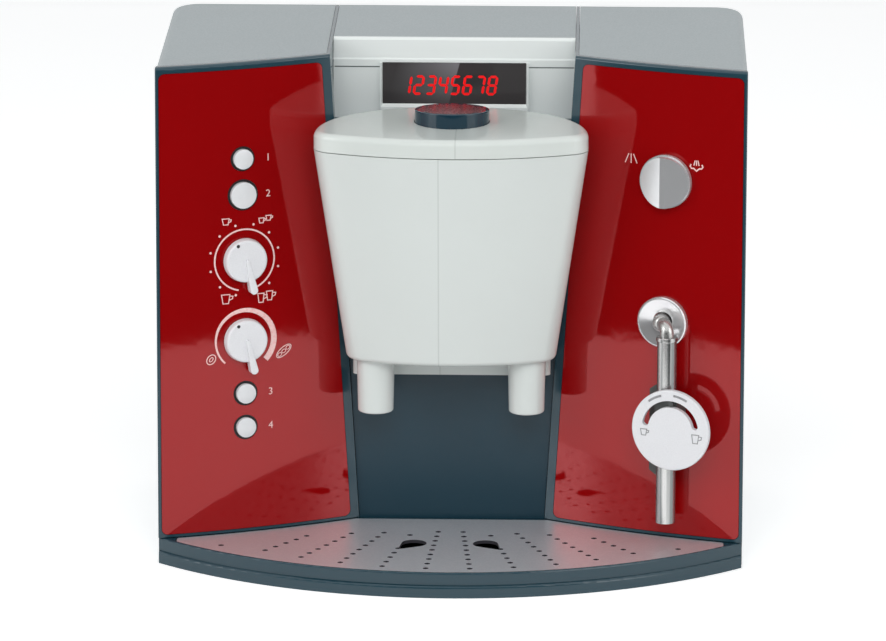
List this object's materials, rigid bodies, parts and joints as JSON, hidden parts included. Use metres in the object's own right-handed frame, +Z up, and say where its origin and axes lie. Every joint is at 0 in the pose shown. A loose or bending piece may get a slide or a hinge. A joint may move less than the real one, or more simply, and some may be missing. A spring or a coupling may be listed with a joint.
{
  "type": "toy coffee maker",
  "caption": "Role-play coffee machine with curved front wings, lift-off brew head lid with pump button, spouts, turning knobs, push buttons, swinging frother with dial, and slide-out drip tray.",
  "frame": {"origin": "bottom centre of the whole toy's bounding box, on the surface it stands on", "axes": "+X to the user's right across the front, +Y from the front to the back, +Z up"},
  "size_m": [0.28, 0.211, 0.243],
  "materials": {
    "petrol": "glossy",
    "red": "high gloss",
    "grey": "satin",
    "white": "glossy",
    "silver_knob": "silvery, glossy",
    "chrome": "plated",
    "dark_grey": "satin",
    "tray_metal": "metallic paint",
    "display": "glossy window",
    "label": "printed",
    "steel": "plain"
  },
  "bodies": {
    "housing": {"wing_frame_left": "petrol", "wing_frame_right": "petrol", "wing_panel_left": "red", "wing_panel_right": "red", "side_shell_left": "grey", "side_shell_right": "grey", "recess_cheek_left": "petrol", "recess_cheek_right": "petrol", "spout_left": "white", "spout_right": "white", "screw_posts_left": "grey", "screw_posts_right": "grey", "top_cover": "grey", "back_cover": "grey", "back_screws": "steel", "base_plate": "dark_grey", "recess_panel": "petrol", "recess_deck": "petrol", "header_panel": "white", "header_cap": "white", "display_window": "display", "display_bezel": "white", "brew_head": "white", "head_underplate": "white", "bracket_left": "dark_grey", "bracket_right": "dark_grey", "frother_boss": "silver_knob"},
    "lid": {"lid": "white", "pump_barrel": "white", "start_spring": "steel"},
    "start_button": {"start_button": "petrol", "start_label": "label"},
    "button_1": {"button_1": "silver_knob"},
    "button_2": {"button_2": "silver_knob"},
    "button_3": {"button_3": "silver_knob"},
    "button_4": {"button_4": "silver_knob"},
    "knob_upper": {"knob_upper": "silver_knob", "knob_upper_clip": "steel"},
    "knob_lower": {"knob_lower": "silver_knob", "knob_lower_clip": "steel"},
    "steam_knob": {"steam_knob": "silver_knob", "steam_knob_clip": "steel"},
    "frother": {"frother_elbow": "chrome", "frother_tube": "chrome", "frother_guide": "dark_grey"},
    "froth_dial": {"froth_dial": "silver_knob"},
    "drip_tray": {"drip_tray": "petrol"},
    "drip_plate": {"drip_plate": "tray_metal"}
  },
  "joints": [
    {"name": "lid_lift", "type": "slide", "parent": "housing", "child": "lid", "axis": [0, 0, 1], "range_m": [0, 0.05]},
    {"name": "start_press", "type": "slide", "parent": "lid", "child": "start_button", "axis": [0, 0, -1], "range_m": [0, 0.0025], "stiffness_N_per_m": 500, "springref_m": -0.002, "deforming": ["start_spring"]},
    {"name": "button_1_press", "type": "slide", "parent": "housing", "child": "button_1", "axis": [-0.3743, 0.9273, 0], "range_m": [0, 0.0015], "stiffness_N_per_m": 400, "springref_m": -0.001},
    {"name": "button_2_press", "type": "slide", "parent": "housing", "child": "button_2", "axis": [-0.3743, 0.9273, 0], "range_m": [0, 0.0015], "stiffness_N_per_m": 400, "springref_m": -0.001},
    {"name": "button_3_press", "type": "slide", "parent": "housing", "child": "button_3", "axis": [-0.3763, 0.9265, 0], "range_m": [0, 0.0015], "stiffness_N_per_m": 400, "springref_m": -0.001},
    {"name": "button_4_press", "type": "slide", "parent": "housing", "child": "button_4", "axis": [-0.3763, 0.9265, 0], "range_m": [0, 0.0015], "stiffness_N_per_m": 400, "springref_m": -0.001},
    {"name": "knob_upper_turn", "type": "hinge", "parent": "housing", "child": "knob_upper", "pos_m": [-0.0986, -0.0353, 0.1467], "axis": [0.3758, -0.9267, 0], "range_deg": [0, 320]},
    {"name": "knob_lower_turn", "type": "hinge", "parent": "housing", "child": "knob_lower", "pos_m": [-0.0986, -0.0353, 0.1073], "axis": [0.3758, -0.9267, 0], "range_deg": [0, 305]},
    {"name": "steam_knob_turn", "type": "hinge", "parent": "housing", "child": "steam_knob", "pos_m": [0.1023, -0.03678, 0.1873], "axis": [-0.3665, -0.9304, 0], "range_deg": [-60, 60]},
    {"name": "frother_swing", "type": "hinge", "parent": "housing", "child": "frother", "pos_m": [0.1014, -0.03642, 0.1183], "axis": [-0.3688, -0.9295, 0], "range_deg": [-15, 15]},
    {"name": "froth_dial_turn", "type": "hinge", "parent": "frother", "child": "froth_dial", "pos_m": [0.10574, -0.05503, 0.07], "axis": [-0.3688, -0.9295, 0], "range_deg": [-74, 74]},
    {"name": "drip_tray_slide", "type": "slide", "parent": "housing", "child": "drip_tray", "axis": [0, -1, 0], "range_m": [0, 0.1]},
    {"name": "drip_plate_lift", "type": "slide", "parent": "drip_tray", "child": "drip_plate", "axis": [0, 0, 1], "range_m": [0, 0.008]}
  ]
}
